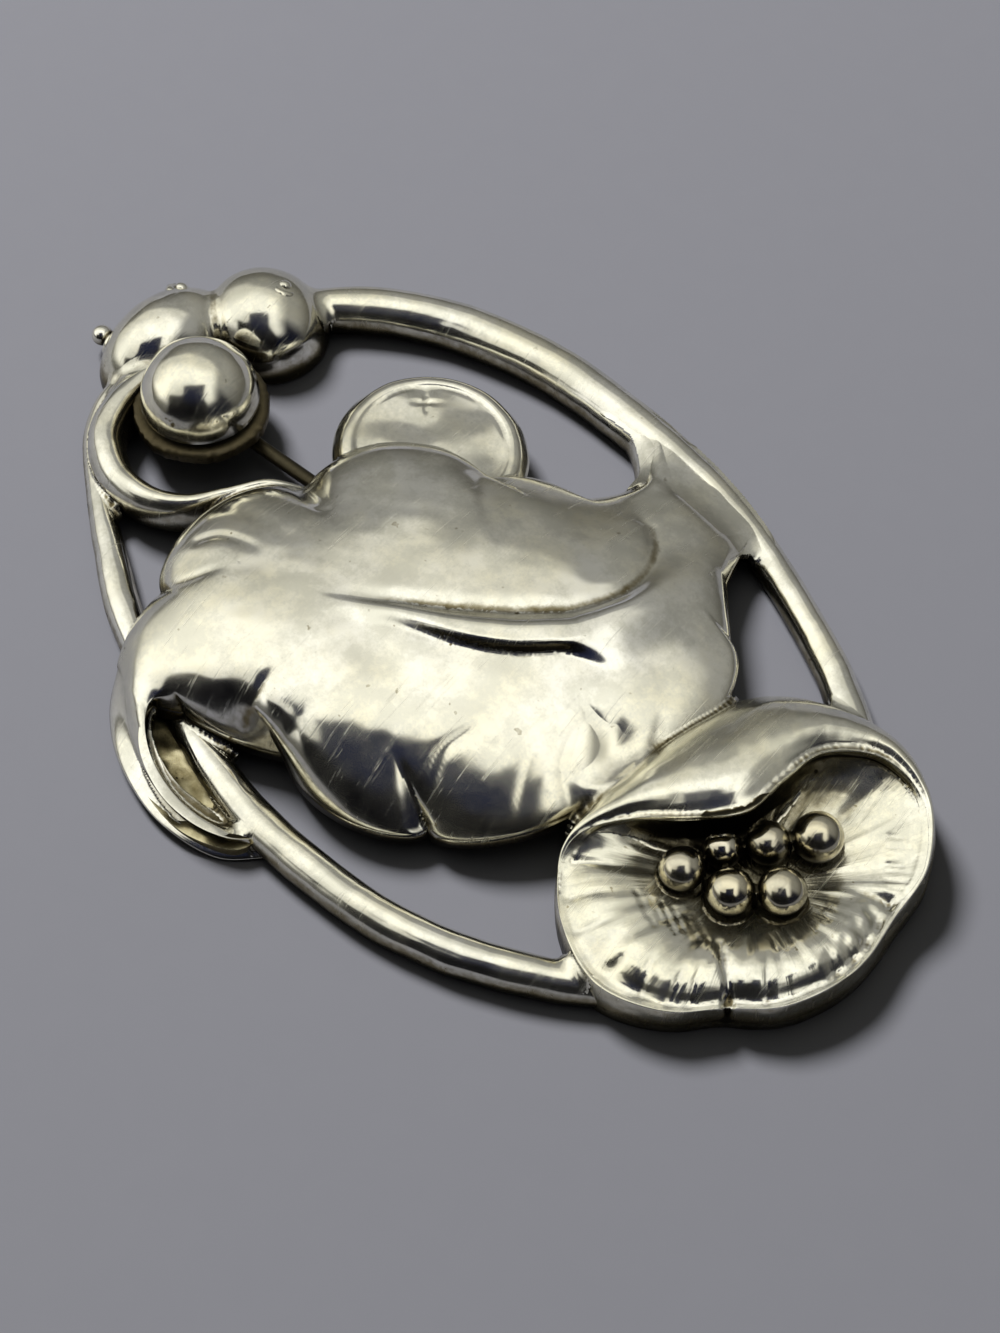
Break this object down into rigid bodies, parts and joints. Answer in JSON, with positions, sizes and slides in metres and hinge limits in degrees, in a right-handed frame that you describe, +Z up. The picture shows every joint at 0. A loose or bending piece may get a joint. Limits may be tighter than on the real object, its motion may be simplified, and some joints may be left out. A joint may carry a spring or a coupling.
{
  "type": "grape brooch",
  "caption": "Oval openwork silver brooch: a curled vine leaf over a flat grape, round berries, and an open flower with ball stamens, worn on a plain pin with a tube catch behind.",
  "frame": {"origin": "centre of the brooch's outline, on the surface that its back lies on", "axes": "+X points to the flower, +Y to the long upper rail, and +Z up, out of the brooch's face"},
  "size_m": [0.0622, 0.0399, 0.0069],
  "materials": {
    "worn_silver": "worn polish, with olive-brown tarnish in the recesses and fine scratches",
    "pin_wire": "drawn wire, dulled",
    "catch_silver": "worn polish, tarnished near the solder"
  },
  "bodies": {
    "root": {"openwork_front": "worn_silver", "pin_stem": "pin_wire", "catch": "catch_silver"}
  },
  "joints": []
}
